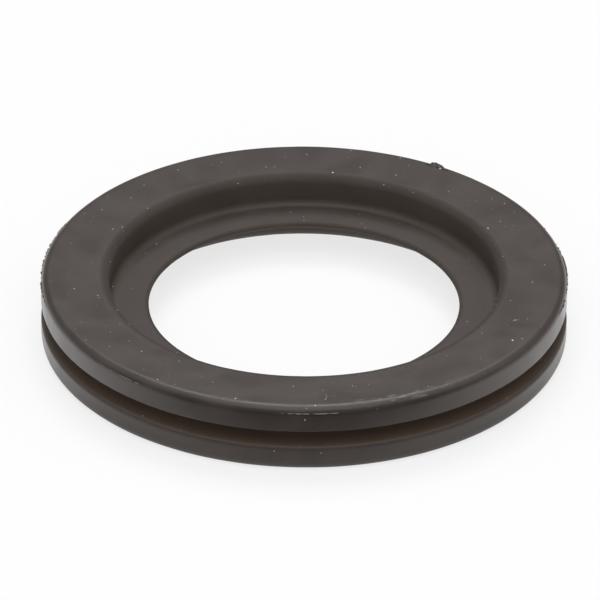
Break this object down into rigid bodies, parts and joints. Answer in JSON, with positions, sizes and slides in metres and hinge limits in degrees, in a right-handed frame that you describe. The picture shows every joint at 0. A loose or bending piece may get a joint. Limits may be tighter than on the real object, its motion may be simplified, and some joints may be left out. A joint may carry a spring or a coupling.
{
  "type": "membrane bushing",
  "caption": "Moulded rubber grommet ring: two round flanges with a panel groove between them, a recess in each face and a thin central web with a round hole.",
  "frame": {"origin": "on the ring's axis, in the plane of its underside", "axes": "+Z along the ring's axis, out of the face that is up in the picture; X and Y are any two directions across the ring, with the torn nib 59 degrees from +X towards +Y"},
  "size_m": [0.0482, 0.0482, 0.0065],
  "materials": {
    "moulded_rubber": "semi-matt brown-black moulded rubber with fine dust specks and light scuffs"
  },
  "bodies": {
    "root": {"membrane_bushing": "moulded_rubber"}
  },
  "joints": []
}
